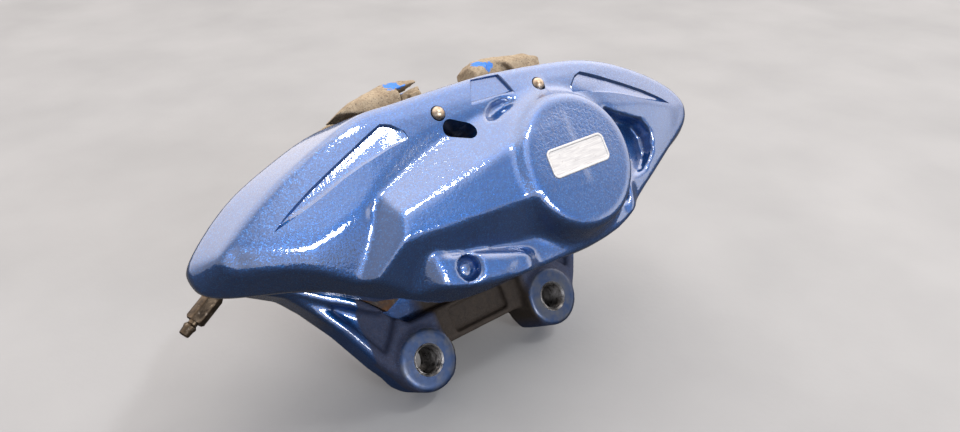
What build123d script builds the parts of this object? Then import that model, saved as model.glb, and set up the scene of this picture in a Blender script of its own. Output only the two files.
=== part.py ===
"""Four-piston fixed disc brake caliper with its pads, lying back on its mounting ears.

Everything is drawn in the caliper's own frame: X runs along the disc rim, Y along the wheel axle
(outboard is -Y), Z radially outward, with the origin midway between the four piston axes.
At the end the whole assembly is leaned back onto its ears and its hose boss, and moved so that
the origin is the middle of its box at floor level.
"""
from build123d import *
import math
import os

os.makedirs("parts", exist_ok=True)

# ---- driving dimensions, millimetres and degrees ----
disc_radius = 174.0
disc_thickness = 30.0
axle_drop = 141.0            # disc axis below the piston axes
disc_room = 3.0              # metal to disc rim
slot_side_room = 2.0         # metal to disc face
lining_gap = 0.5             # new lining to disc face
lining_thickness = 9.0
backplate_thickness = 5.5
shim_thickness = 0.5

piston_radius = 19.0
piston_length = 15.5
piston_wall = 4.5
piston_spacing = 54.0
piston_gap = 0.05            # shim to piston rim
bore_clearance = 0.05
bore_bottom = 47.5           # distance from the disc middle plane
half_inner = 32.0            # inner faces of both halves
seal_plane = 35.4            # near side of the seal groove
seal_width = 2.4
seal_depth = 2.6             # radial depth of the groove
boot_depth = 2.2             # recess for the dust boot
boot_flange = 3.2            # how far that recess is wider than the piston
window_half_length = 68.0
window_bottom = -42.5

ear_spacing = 81.0
ear_drop = 62.0
ear_radius = 15.5
ear_front = 18.0
ear_back = 42.0
ear_thread_radius = 6.25     # M14 x 1.5 core

pin_radius = 3.0
pin_spacing = 55.0
pin_height = 38.0
pin_fit = 0.05
pin_seat = 49.0              # the pin's head sits here, in the inboard half
pin_head_radius = 4.5
pin_tip = 52.0               # rounded outboard end, just proud of the front face
sleeve_radius = 4.2
sleeve_ends = (35.0, 45.0)
pin_hole_clearance = 0.5     # pad backplate round the pin

front_plane = 50.0           # flat front face of the outboard half
rim_plane = 30.0             # widest outline of the outboard half
inboard_plane = 30.0         # where the inboard outline starts
back_shoulder = 50.0
back_plane = 58.0
boss_x = 26.0
boss_face = 60.0
boss_face_radius = 28.8
boss_base_radius = 33.0
wing_face = 57.5
valley_plane = 45.5          # sunk middle of the front face, round the boss and the wedge
piston_boss_back = 62.0
piston_boss_radius = 24.5

hose_boss_radius = 10.0
hose_boss_end = 80.0
hose_thread_radius = 4.5     # M10 x 1 core
hose_thread_depth = 14.0

bleed_root = (-117.0, 31.0, 3.5)
bleed_direction = (-0.853, 0.0, -0.522)
bleed_radius = 4.0
bleed_clearance = 0.05
bleed_depth = 14.0
right_droop = 0.045          # the outboard half hangs lower towards its right end, mm per mm
lean_back = 36.4             # degrees that the caliper leans back when it lies on its ears

pad_back = disc_thickness / 2 + lining_gap + lining_thickness + backplate_thickness + shim_thickness
shim_face = pad_back - shim_thickness
plate_face = shim_face - backplate_thickness
lining_face = plate_face - lining_thickness
outboard = -1
inboard = 1
sides = {"outer": outboard, "inner": inboard}
ends = {"left": -1, "right": 1}


def facing(side, distance):
    """Sketch plane parallel to the disc, at a distance from its middle, facing away from it."""
    normal = (0, side, 0)
    return Plane(origin=(0, side * distance, 0), x_dir=(1, 0, 0), z_dir=normal)


def sketch_point(side, x, z):
    """The point (x, z) of the caliper, on a plane made by facing()."""
    return (x, -side * z)


def outline_point(side, x, z, droop=0):
    """The point (x, z) of an outline, lowered by so much per mm if it lies right of the middle."""
    return sketch_point(side, x, z - droop * max(x, 0))


def closed_outline(top, tip, bottom, side, droop=0):
    """Face with like ends: top and bottom edges as splines, each tip as an arc.

    top and bottom run from the middle to the right end, tip is the outermost point."""
    def both(points):
        left = [(-x, z) for x, z in reversed(points) if x > 0]
        return [outline_point(side, x, z, droop) for x, z in left + points]

    upper = both(top)
    lower = both(bottom)
    left_tip = outline_point(side, -tip[0], tip[1])
    right_tip = outline_point(side, *tip, droop)
    Spline(*upper)
    ThreePointArc(upper[-1], right_tip, lower[-1])
    Spline(*lower)
    ThreePointArc(upper[0], left_tip, lower[0])


front_outline = dict(
    top=[(0, 48.5), (45, 46), (72, 43), (98, 30), (121, 15)],
    tip=(121, 11),
    bottom=[(0, -37), (44, -31), (76, -14), (101, 3), (117, 8)],
    droop=right_droop,
)
rim_outline = dict(
    top=[(0, 51.5), (45, 49), (74, 47.5), (96, 40), (115, 31.5), (133, 17)],
    tip=(136, 9),
    bottom=[(0, -38.5), (44, -38), (72, -23), (97, -9.5), (130, 0.5)],
    droop=right_droop,
)
inboard_outline = dict(
    top=[(0, 50), (45, 48), (74, 44), (100, 33), (117, 18)],
    tip=(121, 12),
    bottom=[(0, -38.5), (44, -36.5), (70, -22.5), (92, -7), (111, 6)],
)
back_outline = dict(
    top=[(0, 42), (42, 40), (68, 36), (92, 25), (108, 12)],
    tip=(111, 8),
    bottom=[(0, -32), (41, -31), (64, -19), (84, -6), (104, 4)],
)


def floor_height(y):
    """Height, in the caliper's own frame, of the floor line that the ears' rear edges stand on."""
    return -ear_drop - ear_radius + (y - ear_back) * math.tan(math.radians(lean_back))


hose_boss_z = floor_height(hose_boss_end) + hose_boss_radius
bleed_plane = Plane(origin=bleed_root, x_dir=(0, 1, 0), z_dir=bleed_direction)

right_arrow = [(107, 14.5), (81, 28), (54, 40), (45, 35), (45, 31.5), (67, 27.5)]

# ---- housing: one casting, two halves joined over the disc at both ends ----
with BuildPart() as caliper_housing:
    # outboard half, bevelled towards its flat front face
    for distance, outline in ((front_plane, front_outline), (rim_plane, rim_outline)):
        with BuildSketch(facing(outboard, distance)):
            with BuildLine():
                closed_outline(side=outboard, **outline)
            make_face()
    loft()
    # sunk middle of the front face
    with BuildSketch(facing(outboard, valley_plane)):
        with BuildLine():
            Polyline((0, 35), (-30, 31), (-44, 31), (-59, 22), (-71, 12), (-70, 1), (-54, -14), (-24, -24),
                     (0, -32), (40, -32), (57, -25), (67, -14), (71, 12), (59, 22), (44, 31), (30, 34),
                     close=True)
        make_face()
    extrude(amount=front_plane, taper=-20, mode=Mode.SUBTRACT)
    # bridges and inboard half
    with BuildSketch(facing(outboard, rim_plane)):
        with BuildLine():
            closed_outline(side=outboard, **rim_outline)
        make_face()
    with BuildSketch(facing(outboard, -inboard_plane)):
        with BuildLine():
            closed_outline(side=outboard, **inboard_outline)
        make_face()
    loft()
    with BuildSketch(facing(inboard, inboard_plane)):
        with BuildLine():
            closed_outline(side=inboard, **inboard_outline)
        make_face()
    extrude(amount=back_shoulder - inboard_plane)
    for distance, outline in ((back_shoulder, inboard_outline), (back_plane, back_outline)):
        with BuildSketch(facing(inboard, distance)):
            with BuildLine():
                closed_outline(side=inboard, **outline)
            make_face()
    loft()
    # round boss over the right outboard piston
    for distance, radius in ((valley_plane - 2, boss_base_radius), (boss_face, boss_face_radius)):
        with BuildSketch(facing(outboard, distance)):
            with Locations((boss_x, 0)):
                Circle(radius)
    loft()
    # wedge over the left outboard piston, running into the round boss
    wing_base = [(-69, -2), (-64, 12), (-40, 27), (12, 30), (12, -27), (-42, -23)]
    wing_top = [(-62, -4), (-60, 5), (-26, 12), (8, 15), (8, -8), (-30, -7)]
    for distance, corners in ((valley_plane - 1, wing_base), (wing_face, wing_top)):
        with BuildSketch(facing(outboard, distance)):
            with BuildLine():
                Polyline(*corners, close=True)
            make_face()
    loft(ruled=True)
    # rear bosses over the inboard pistons
    with BuildSketch(facing(inboard, back_shoulder)):
        with GridLocations(piston_spacing, 1, 2, 1):
            Circle(piston_boss_radius)
    extrude(amount=piston_boss_back - back_shoulder)
    # arms from the ends of the inboard half down to the two mounting ears
    arm = [(-111, 5), (-103, -3), (-92, -9), (-83, -20), (-73, -36), (-62, -57), (-50, -74), (-29, -74),
           (-26, -52), (-26, -30), (-70, 0)]
    with BuildSketch(facing(outboard, -ear_back)) as arm_sketch:
        with BuildLine():
            Polyline(*arm, close=True)
        make_face()
        mirror(about=Plane.YZ)
    extrude(amount=ear_back - ear_front - 2)
    with BuildSketch(facing(outboard, -ear_back)):
        with Locations((-ear_spacing / 2, -ear_drop), (ear_spacing / 2, -ear_drop)):
            Circle(ear_radius)
    extrude(amount=ear_back - ear_front)
    # cross web between the ears, with a shallow pocket in its outboard face
    with Locations((0, 33.5, -48.5)):
        Box(60, 17, 25)
    with Locations((0, 25, -51)):
        Box(34, 8, 13, mode=Mode.SUBTRACT)
    # inboard wall carries on down behind the pads to the ears
    with Locations((0, 43, -35)):
        Box(120, 14, 18)
    # hose boss, which is also the third point that the caliper lies on
    with BuildSketch(facing(inboard, ear_back)):
        with Locations(sketch_point(inboard, 0, hose_boss_z)):
            Circle(hose_boss_radius)
    extrude(amount=hose_boss_end - ear_back)
    # slot for the disc
    with BuildSketch(Plane.XZ.offset(-disc_thickness / 2 - slot_side_room)):
        with Locations((0, -axle_drop)):
            Circle(disc_radius + disc_room)
    extrude(amount=disc_thickness + 2 * slot_side_room, mode=Mode.SUBTRACT)
    # window that the pads drop into, open at the top
    with Locations((0, 0, window_bottom)):
        Box(2 * window_half_length, 2 * half_inner, 150,
            align=(Align.CENTER, Align.CENTER, Align.MIN), mode=Mode.SUBTRACT)
    # the arms' flat fronts carry on up to just below the inner pad's lower corners
    with BuildSketch(facing(outboard, -half_inner - 2)):
        with BuildLine():
            Polyline((-70, -14), (-48, -36), (-48, -44), (-66, -44), (-70, -38), close=True)
        make_face()
        mirror(about=Plane.YZ)
    extrude(amount=half_inner - ear_front)
    # four piston bores, each with a seal groove and a recess for its dust boot
    for side in (outboard, inboard):
        for distance, depth, radius in (
            (half_inner, bore_bottom - half_inner, piston_radius + bore_clearance),
            (half_inner, boot_depth, piston_radius + boot_flange),
            (seal_plane, seal_width, piston_radius + seal_depth),
        ):
            with BuildSketch(facing(side, distance)):
                with GridLocations(piston_spacing, 1, 2, 1):
                    Circle(radius)
            extrude(amount=depth, mode=Mode.SUBTRACT)
    # pin holes through both halves: a seat for the grip sleeve outboard, a spot face inboard
    for distance, depth, radius in (
        (-back_plane, 2 * back_plane, pin_radius + pin_fit),
        (half_inner, front_plane, sleeve_radius),
        (-back_plane, back_plane - pin_seat, pin_head_radius + 1.5),
    ):
        with BuildSketch(facing(outboard, distance)):
            with GridLocations(pin_spacing, 1, 2, 1):
                with Locations((0, pin_height)):
                    Circle(radius)
        extrude(amount=depth, mode=Mode.SUBTRACT)
    # oval sight hole into the pad window
    with BuildSketch(facing(outboard, half_inner - 2)):
        with Locations((-20.8, 29.2)):
            SlotOverall(15, 7.6, rotation=-25)
    extrude(amount=30, mode=Mode.SUBTRACT)
    # blind pockets low on the outboard face
    with BuildSketch(facing(outboard, front_plane - 8)):
        with Locations((-42, -25), (54, -22)):
            Circle(5)
    extrude(amount=20, mode=Mode.SUBTRACT)
    # long arrow-shaped recess at each end of the front face, and a small one in the top rail
    with BuildSketch(facing(outboard, front_plane - 2)):
        with BuildLine():
            Polyline((-107, 14.5), (-81, 28), (-54, 40), (-45, 35), (-45, 31.5), (-67, 27.5), close=True)
        make_face()
        with BuildLine():
            Polyline(*[outline_point(outboard, x, z, right_droop) for x, z in right_arrow], close=True)
        make_face()
    extrude(amount=10, mode=Mode.SUBTRACT)
    with BuildSketch(facing(outboard, front_plane - 1.2)):
        with BuildLine():
            Polyline((-5, 48), (9, 47), (12, 38.5), (-9, 38.5), close=True)
        make_face()
    extrude(amount=10, mode=Mode.SUBTRACT)
    # deep recess on the right, beside the boss
    with BuildSketch(facing(outboard, front_plane - 14)):
        with BuildLine():
            Polyline((62, 15), (68, 12), (84, 6), (87, -2), (84, -10), (76, -15), (62, -18), close=True)
        make_face()
    extrude(amount=30, mode=Mode.SUBTRACT)
    # three-cornered pocket in the outboard side of each arm
    with BuildSketch(facing(outboard, -28)):
        with BuildLine():
            Polyline((-88, -11), (-70, -21), (-56, -34), (-56, -49), (-62, -51), (-71, -34), (-80, -20),
                     close=True)
        make_face()
        mirror(about=Plane.YZ)
    extrude(amount=12, mode=Mode.SUBTRACT)
    # threaded holes: both ears right through, hose boss blind
    with BuildSketch(facing(outboard, -ear_back)):
        with Locations((-ear_spacing / 2, -ear_drop), (ear_spacing / 2, -ear_drop)):
            Circle(ear_thread_radius)
    extrude(amount=ear_back - ear_front, mode=Mode.SUBTRACT)
    with BuildSketch(facing(inboard, hose_boss_end)):
        with Locations(sketch_point(inboard, 0, hose_boss_z)):
            Circle(hose_thread_radius)
    extrude(amount=-hose_thread_depth, mode=Mode.SUBTRACT)
    # threaded seat for the bleed screw at the left end of the inboard half
    with BuildSketch(bleed_plane):
        Circle(bleed_radius + bleed_clearance)
    extrude(amount=-bleed_depth, mode=Mode.SUBTRACT)
    with BuildSketch(bleed_plane):
        Circle(7)
    extrude(amount=12, mode=Mode.SUBTRACT)

pieces = {"caliper_housing": caliper_housing.part}

# ---- pistons, seals and dust boots: one set for each bore ----
piston_front = pad_back + piston_gap
boot_gap = 0.35
boot_lip = 0.9
for side_name, side in sides.items():
    for end_name, end in ends.items():
        centre = sketch_point(side, end * piston_spacing / 2, 0)
        with BuildPart() as piston:
            with BuildSketch(facing(side, piston_front)):
                with Locations(centre):
                    Circle(piston_radius)
            extrude(amount=piston_length)
            chamfer(piston.edges().filter_by(GeomType.CIRCLE), 0.8)
            with BuildSketch(facing(side, piston_front)):
                with Locations(centre):
                    Circle(piston_radius - piston_wall)
            extrude(amount=piston_length - piston_wall, mode=Mode.SUBTRACT)
        pieces[f"{side_name}_piston_{end_name}"] = piston.part

        with BuildPart() as seal:
            with BuildSketch(facing(side, seal_plane + 0.1)):
                with Locations(centre):
                    Circle(piston_radius + seal_depth - 0.1)
                    Circle(piston_radius + bore_clearance, mode=Mode.SUBTRACT)
            extrude(amount=seal_width - 0.2)
        pieces[f"{side_name}_seal_{end_name}"] = seal.part

        with BuildPart() as dust_boot:
            with BuildSketch(facing(side, half_inner)):
                with Locations(centre):
                    Circle(piston_radius + boot_flange - 0.1)
                    Circle(piston_radius + boot_gap, mode=Mode.SUBTRACT)
            extrude(amount=boot_depth - 0.1)
            with BuildSketch(facing(side, half_inner - boot_lip)):
                with Locations(centre):
                    Circle(piston_radius + 2.2)
                    Circle(piston_radius + boot_gap, mode=Mode.SUBTRACT)
            extrude(amount=boot_lip)
        pieces[f"{side_name}_dust_boot_{end_name}"] = dust_boot.part

# ---- pads ----
pad_outer_radius = 175.4
pad_inner_radius = 118.0
pad_half_length = window_half_length - 0.4
pad_bottom = -34.0
pad_top = 52.0
pad_corner = 20.0            # how much its lower corners are cut away
lining_outer_radius = 170.5
lining_inner_radius = 121.0
lining_half_length = 58.0
tab_foot = 20.0
tab_top = 48.0
weight_spans = ((-60.0, -16.5), (10.5, 52.0))
weight_foot = 42.0
weight_depth = 10.0
rivet_radius = 2.2
rivet_head_radius = 3.6
rivet_height = 45.4
rivet_inset = 6.0
rivet_places = [x for start, stop in weight_spans for x in (start + rivet_inset, stop - rivet_inset)]


def pad_sector(side, outer, inner, half_length):
    """Ring segment round the disc axis, cut square at both ends and at its lower corners."""
    with Locations(sketch_point(side, 0, -axle_drop)):
        Circle(outer)
        Circle(inner, mode=Mode.SUBTRACT)
    limits = [(half_length, pad_top), (half_length, pad_bottom + pad_corner),
              (half_length - pad_corner, pad_bottom)]
    limits += [(-x, z) for x, z in reversed(limits)]
    with BuildLine(mode=Mode.PRIVATE) as limit_line:
        Polyline(*[sketch_point(side, x, z) for x, z in limits], close=True)
    make_face(limit_line.line, mode=Mode.INTERSECT)


def rivet_holes(side, distance, depth):
    """Cut the four rivet holes through the piece being built."""
    with BuildSketch(facing(side, distance)) as holes:
        with Locations(*[sketch_point(side, x, rivet_height) for x in rivet_places]):
            Circle(rivet_radius)
    extrude(holes.sketch, amount=depth, mode=Mode.SUBTRACT)


for side_name, side in sides.items():
    with BuildPart() as backplate:
        with BuildSketch(facing(side, plate_face)):
            pad_sector(side, pad_outer_radius, pad_inner_radius, pad_half_length)
            for start, stop in weight_spans:
                with Locations(sketch_point(side, (start + stop) / 2, (tab_top + tab_foot) / 2)):
                    Rectangle(stop - start, tab_top - tab_foot)
            with GridLocations(pin_spacing, 1, 2, 1):
                with Locations(sketch_point(side, 0, pin_height)):
                    Circle(pin_radius + pin_hole_clearance, mode=Mode.SUBTRACT)
        extrude(amount=backplate_thickness)
        rivet_holes(side, plate_face, backplate_thickness)
    pieces[f"{side_name}_backplate"] = backplate.part

    with BuildPart() as lining:
        with BuildSketch(facing(side, lining_face)):
            pad_sector(side, lining_outer_radius, lining_inner_radius, lining_half_length)
        extrude(amount=lining_thickness)
        worn_edges = lining.faces().filter_by(Plane.XZ).sort_by(Axis.Y)[-1 if side < 0 else 0].edges()
        end_edges = worn_edges.filter_by(Axis.Z).sort_by(Axis.X)
        chamfer([end_edges[0], end_edges[-1]], 4)
        with BuildSketch(facing(side, lining_face)):
            Rectangle(2.5, 120)
        extrude(amount=lining_thickness - 2, mode=Mode.SUBTRACT)
    pieces[f"{side_name}_lining"] = lining.part

    with BuildPart() as shim:
        with BuildSketch(facing(side, shim_face)):
            pad_sector(side, pad_outer_radius - 6, pad_inner_radius + 3, lining_half_length)
            with Locations(sketch_point(side, 0, -24)):
                Circle(8, mode=Mode.SUBTRACT)
        extrude(amount=shim_thickness)
    pieces[f"{side_name}_shim"] = shim.part

    # cast weights hooked over the top of the backplate
    profile = [(plate_face, weight_foot), (plate_face - weight_depth, weight_foot),
               (plate_face - weight_depth - 0.5, 59), (plate_face - 6, 62.5), (shim_face - 2.5, 61.5),
               (shim_face, 57), (shim_face, tab_top), (plate_face, tab_top)]
    for end_name, (start, stop) in zip(ends, weight_spans):
        with BuildPart() as weight:
            with BuildSketch(Plane.YZ.offset(start)):
                with BuildLine():
                    Polyline(*[(side * distance, height) for distance, height in profile], close=True)
                make_face()
            extrude(amount=stop - start)
            with BuildSketch(Plane.XZ.offset(-back_plane)):
                for x, inward in ((start, 1), (stop, -1)):
                    with BuildLine():
                        Polyline((x, 52), (x, 64), (x + inward * 9, 64), close=True)
                    make_face()
            extrude(amount=2 * back_plane, mode=Mode.SUBTRACT)
            rivet_holes(side, plate_face - 2 * weight_depth, 2 * weight_depth)
        pieces[f"{side_name}_weight_{end_name}"] = weight.part

    with BuildPart() as rivets:
        for distance, depth, radius in (
            (shim_face, 1.3, rivet_head_radius),
            (plate_face - weight_depth - 1.5, 1.3, rivet_head_radius),
            (plate_face - weight_depth - 1, weight_depth + backplate_thickness + 1.5, rivet_radius),
        ):
            with BuildSketch(facing(side, distance)):
                with Locations(*[sketch_point(side, x, rivet_height) for x in rivet_places]):
                    Circle(radius)
            extrude(amount=depth)
    pieces[f"{side_name}_weight_rivets"] = rivets.part

# ---- pad pins, their grip sleeves and the spring plate under them ----
for end_name, end in ends.items():
    pin_centre = (end * pin_spacing / 2, pin_height)
    with BuildPart() as pin:
        with BuildSketch(facing(outboard, -pin_seat)):
            with Locations(pin_centre):
                Circle(pin_radius)
        extrude(amount=pin_seat + pin_tip)
        fillet(pin.edges().group_by(Axis.Y)[0], pin_radius - 0.4)
        with BuildSketch(facing(inboard, pin_seat)):
            with Locations(sketch_point(inboard, *pin_centre)):
                Circle(pin_head_radius)
        extrude(amount=3)
        chamfer(pin.edges().group_by(Axis.Y)[-1], 0.6)
    pieces[f"pad_pin_{end_name}"] = pin.part

    with BuildPart() as sleeve:
        with BuildSketch(facing(outboard, sleeve_ends[0])):
            with Locations(pin_centre):
                Circle(sleeve_radius)
                Circle(pin_radius, mode=Mode.SUBTRACT)
            with Locations((pin_centre[0], pin_centre[1] + sleeve_radius)):
                Rectangle(1, 2 * (sleeve_radius - pin_radius) + 1, mode=Mode.SUBTRACT)
        extrude(amount=sleeve_ends[1] - sleeve_ends[0])
    pieces[f"pin_sleeve_{end_name}"] = sleeve.part

spring_thickness = 1.0
spring_half_width = 13.0
plate_height = 40.0
pin_seat_height = pin_height - pin_radius - spring_thickness - 0.1
with BuildPart() as spring_plate:
    half_profile = [(9, plate_height), (20, pin_seat_height), (33, pin_seat_height), (37, pin_seat_height + 4)]
    profile = [(-x, z) for x, z in reversed(half_profile)] + half_profile
    with BuildSketch(Plane.XZ.offset(-spring_half_width)):
        with BuildLine():
            across = Polyline(*profile)
            offset(across, amount=spring_thickness, side=Side.LEFT)
        make_face()
    extrude(amount=2 * spring_half_width)
    for side in sides.values():
        tongue = [(spring_half_width - 2, plate_height), (20, 35.6), (half_inner - 1, 35.6)]
        with BuildSketch(Plane.YZ.offset(-7)):
            with BuildLine():
                along = Polyline(*[(side * distance, height) for distance, height in tongue])
                offset(along, amount=spring_thickness, side=Side.LEFT if side > 0 else Side.RIGHT)
            make_face()
        extrude(amount=14)
pieces["spring_plate"] = spring_plate.part

# ---- bleed screw: threaded shank, hexagon and hollow nipple ----
with BuildPart() as bleed_screw:
    with BuildSketch(bleed_plane.offset(0.5 - bleed_depth)):
        Circle(bleed_radius)
    extrude(amount=bleed_depth)
    with BuildSketch(bleed_plane.offset(0.4)):
        RegularPolygon(radius=4.4, side_count=6)
    extrude(amount=13.6)
    with BuildSketch(bleed_plane.offset(14)):
        Circle(2.1)
    extrude(amount=1.6)
    for start, first, last, length in ((15.6, 2.1, 2.9, 1.0), (16.6, 2.9, 2.4, 4.4)):
        with BuildSketch(bleed_plane.offset(start)):
            Circle(first)
        with BuildSketch(bleed_plane.offset(start + length)):
            Circle(last)
        loft()
    with BuildSketch(bleed_plane.offset(21)):
        Circle(1.1)
    extrude(amount=-26, mode=Mode.SUBTRACT)
pieces["bleed_screw"] = bleed_screw.part

# ---- blank badge on the round boss ----
badge_centre = (25.0, 1.5)
with BuildPart() as badge:
    with BuildSketch(facing(outboard, boss_face)):
        with Locations(badge_centre):
            RectangleRounded(34, 13, 3)
    extrude(amount=0.8)
    chamfer(badge.faces().sort_by(Axis.Y)[0].edges(), 0.3)
pieces["badge"] = badge.part

# ---- lean the caliper back onto its ears and put the origin under the middle of its box ----
leaned = {name: Rotation(-lean_back, 0, 0) * piece for name, piece in pieces.items()}
whole = Compound(list(leaned.values())).bounding_box()
to_origin = Pos(-whole.center().X, -whole.center().Y, -whole.min.Z)
for name, piece in leaned.items():
    standing = to_origin * piece
    standing.label = name
    export_step(standing, f"parts/{name}.step")
print("size", whole.size, "shift", to_origin.position)
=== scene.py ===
"""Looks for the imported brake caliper: cast and painted housing, pads, pins, bleed screw, badge."""
import bpy
import math
import numpy as np
from mathutils import Matrix, Vector


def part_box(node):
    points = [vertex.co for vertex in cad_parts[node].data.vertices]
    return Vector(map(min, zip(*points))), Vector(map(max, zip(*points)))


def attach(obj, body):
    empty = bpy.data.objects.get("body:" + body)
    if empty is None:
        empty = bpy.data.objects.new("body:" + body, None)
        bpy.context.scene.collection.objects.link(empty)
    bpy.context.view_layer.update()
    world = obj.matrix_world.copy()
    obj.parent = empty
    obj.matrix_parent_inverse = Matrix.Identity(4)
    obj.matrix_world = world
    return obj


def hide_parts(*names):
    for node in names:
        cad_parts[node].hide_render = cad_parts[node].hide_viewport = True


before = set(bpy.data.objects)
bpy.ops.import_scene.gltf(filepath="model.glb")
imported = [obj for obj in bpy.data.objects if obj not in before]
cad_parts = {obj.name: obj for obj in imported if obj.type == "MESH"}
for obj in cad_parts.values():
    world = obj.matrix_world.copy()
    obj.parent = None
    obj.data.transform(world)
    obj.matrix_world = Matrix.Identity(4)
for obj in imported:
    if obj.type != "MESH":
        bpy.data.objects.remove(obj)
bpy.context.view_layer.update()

# ---- the caliper's own frame: X along the disc rim, Y along the axle, Z radially out, in mm ----
LEAN = math.radians(36.4)
BORE_X = 27.0
SEAL_Y = 36.6
leaning = Matrix.Rotation(-LEAN, 4, "X")
seal_low, seal_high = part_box("outer_seal_left")
origin = (seal_low + seal_high) / 2 - leaning @ Vector((-BORE_X / 1000, -SEAL_Y / 1000, 0))
TO_ROW = Matrix.Translation(origin) @ leaning @ Matrix.Scale(0.001, 4)
EAR_X, EAR_Z, EAR_Y, EAR_RADIUS = 40.5, -62.0, 30, 15.4
PIN_X, PIN_Z = 27.5, 38.0
BOSS_X, BOSS_FACE = 26.0, -60
HOSE_Z = EAR_Z - 5.5 + 38 * math.tan(LEAN)
BLEED_SEAT, BLEED_AXIS = (-117, 31, 3.5), (-0.853, 0, -0.522)
DROOP, DROOP_FROM = 0.045, 5    # the outboard half sags towards its right end, from this X on


# ---- mesh helpers ----
def add_object(name, data):
    """An object of that data, in the scene."""
    made = bpy.data.objects.new(name, data)
    bpy.context.scene.collection.objects.link(made)
    return made


def make_mesh(name, points, faces, material, body, stands_for=()):
    """An object from points in the caliper's own frame (mm), riding on a body."""
    mesh = bpy.data.meshes.new(name)
    mesh.from_pydata([tuple(p) for p in points], [], [tuple(int(i) for i in f) for f in faces])
    mesh.transform(TO_ROW)
    mesh.validate()
    mesh.shade_smooth()
    mesh.materials.append(material)
    piece = add_object(name, mesh)
    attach(piece, body)
    if stands_for:
        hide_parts(*stands_for)
    return piece


def crease(piece, degrees):
    """Mark edges sharper than this, so that smooth shading stops there."""
    piece.data.set_sharp_from_angle(angle=math.radians(degrees))


def bands(rows, sides, base=0):
    """Quads from each ring of points to the next."""
    return [(base + i * sides + k, base + i * sides + (k + 1) % sides,
             base + (i + 1) * sides + (k + 1) % sides, base + (i + 1) * sides + k)
            for i in range(rows - 1) for k in range(sides)]


def closed_tube(rows, sides, base=0):
    """The quads between the rings, and a face over each end."""
    last = base + (rows - 1) * sides
    return bands(rows, sides, base) + [tuple(range(base, base + sides))[::-1],
                                       tuple(range(last, last + sides))]


def lathe(profile, start, direction, sides):
    """Points and faces of a turned part: profile is (distance along the axis, radius)."""
    axis = Vector(direction).normalized()
    side = axis.orthogonal().normalized()
    other = axis.cross(side)
    points = []
    for along, radius in profile:
        for k in range(sides):
            a = 2 * math.pi * k / sides
            spoke = (side * math.cos(a) + other * math.sin(a)) * radius
            points.append(Vector(start) + axis * along + spoke)
    return points, closed_tube(len(profile), sides)


def dome(radius, height, steps):
    """Profile of a rounded end, from its rim to just off its middle."""
    return [(height * math.sin(t), radius * math.cos(t)) for t in np.linspace(0.0, 1.5, steps)]


# ---- fields: negative inside the metal, k is the width of the blend where two shapes meet ----
def union(a, b, k):
    t = np.clip(0.5 + 0.5 * (b - a) / k, 0, 1)
    return b + (a - b) * t - k * t * (1 - t)


def cut(a, b, k):
    return -union(-a, b, k)


def both(a, b, k):
    return -union(-a, -b, k)


def ramp(t):
    """0 to 1 as t goes from 0 to 1, level at both ends."""
    t = np.clip(t, 0, 1)
    return t * t * (3 - 2 * t)


def outline_distance(loop, x, z):
    """Signed distance to a closed polygon, negative inside."""
    nearest = np.full(np.broadcast(x, z).shape, 1e9, np.float32)
    within = np.zeros(nearest.shape, bool)
    for (ax, az), (bx, bz) in zip(loop, np.roll(loop, -1, axis=0)):
        ex, ez = bx - ax, bz - az
        t = np.clip(((x - ax) * ex + (z - az) * ez) / max(ex * ex + ez * ez, 1e-9), 0, 1)
        nearest = np.minimum(nearest, (x - ax - t * ex) ** 2 + (z - az - t * ez) ** 2)
        if ez:
            within ^= ((az > z) != (bz > z)) & (x < ax + (z - az) * ex / ez)
    return np.where(within, -1, 1) * np.sqrt(nearest)


def rounded_loop(right_half, left_half=None):
    """A closed outline through the points of its right half, and of its left if that differs."""
    parts = 5
    left = np.array(left_half or right_half, float)[1:-1][::-1] * (-1, 1)
    p = np.vstack([np.array(right_half, float), left])
    a, b, c = np.roll(p, 1, axis=0), np.roll(p, -1, axis=0), np.roll(p, -2, axis=0)
    loop = []
    for t in np.arange(parts) / parts:
        start = 2 * p + (b - a) * t + (2 * a - 5 * p + 4 * b - c) * t * t
        loop.append(0.5 * (start + (3 * p - a - 3 * b + c) * t ** 3))
    return np.stack(loop, axis=1).reshape(-1, 2)


def from_axis(x, z, centre_x, centre_z):
    """Distance from an axis that runs along Y."""
    return np.sqrt((x - centre_x) ** 2 + (z - centre_z) ** 2)


def slab(value, centre, half):
    """Signed distance to a slab, so far to each side of its middle plane."""
    return np.abs(value - centre) - half


def mirrored(points):
    """The outline itself, on the left, and its mirror image on the right."""
    return [np.array(points, float), np.array([(-x, z) for x, z in points], float)]


def surface_net(field, low, step):
    """Quads on the zero surface of a field sampled on a grid."""
    inside = field < 0
    cells = np.array(field.shape) - 1
    total = [np.zeros(cells.prod()) for _ in range(4)]
    quads = []
    for axis in range(3):
        here = tuple(slice(0, -1) if k == axis else slice(None) for k in range(3))
        there = tuple(slice(1, None) if k == axis else slice(None) for k in range(3))
        change = inside[here] != inside[there]
        index = np.argwhere(change)
        first, second = field[here][change], field[there][change]
        point = index.astype(float)
        point[:, axis] += first / (first - second)
        corners = []
        for du, dv in ((0, 0), (-1, 0), (-1, -1), (0, -1)):
            cell = index.copy()
            cell[:, (axis + 1) % 3] += du
            cell[:, (axis + 2) % 3] += dv
            flat = np.ravel_multi_index(cell.T, cells)
            corners.append(flat)
            for c in range(3):
                total[c] += np.bincount(flat, point[:, c], cells.prod())
            total[3] += np.bincount(flat, minlength=cells.prod())
        quad = np.stack(corners, axis=1)
        outward = inside[here][change]
        quad[~outward] = quad[~outward][:, ::-1]
        quads.append(quad)
    quads = np.vstack(quads)
    used, quads = np.unique(quads, return_inverse=True)
    quads = quads.reshape(-1, 4)
    points = np.stack([total[c][used] / total[3][used] for c in range(3)], axis=1)
    return points * step + low, quads


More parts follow.
